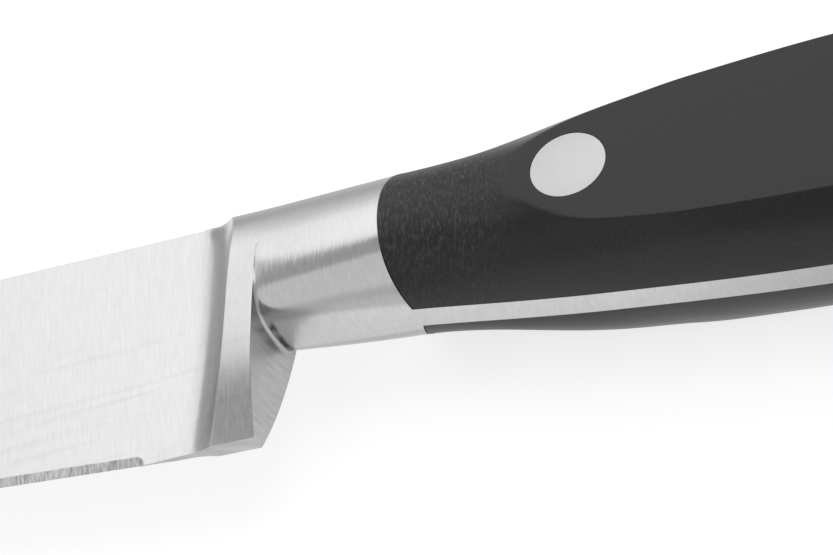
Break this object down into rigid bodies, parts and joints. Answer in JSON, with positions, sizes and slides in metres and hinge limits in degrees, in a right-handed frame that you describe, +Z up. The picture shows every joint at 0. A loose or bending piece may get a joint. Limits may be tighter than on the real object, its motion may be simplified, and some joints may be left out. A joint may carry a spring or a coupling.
{
  "type": "fillet knife",
  "caption": "Forged fillet knife with a long tapering blade, full bolster with drop guard, full tang and black riveted handle scales with flat sides.",
  "frame": {"origin": "on the resting flat of the right scale, half way between the front and the middle rivet", "axes": "+X along the straight cutting edge towards the butt, +Y from the edge towards the spine, +Z up through the left face, with the knife lying on its right side"},
  "size_m": [0.3309, 0.0318, 0.0164],
  "materials": {
    "blade_steel": "belt-ground satin, lines across the blade and round the bolster",
    "scale_plastic": "black moulded plastic, satin flats, short grinding streaks at the front end",
    "rivet_steel": "ground flush with the flats, fine lines along the handle"
  },
  "bodies": {
    "root": {"blade_forging": "blade_steel", "left_scale": "scale_plastic", "right_scale": "scale_plastic", "front_rivet_sleeve": "rivet_steel", "front_rivet_pin": "rivet_steel", "middle_rivet_sleeve": "rivet_steel", "middle_rivet_pin": "rivet_steel", "rear_rivet_sleeve": "rivet_steel", "rear_rivet_pin": "rivet_steel"}
  },
  "joints": []
}
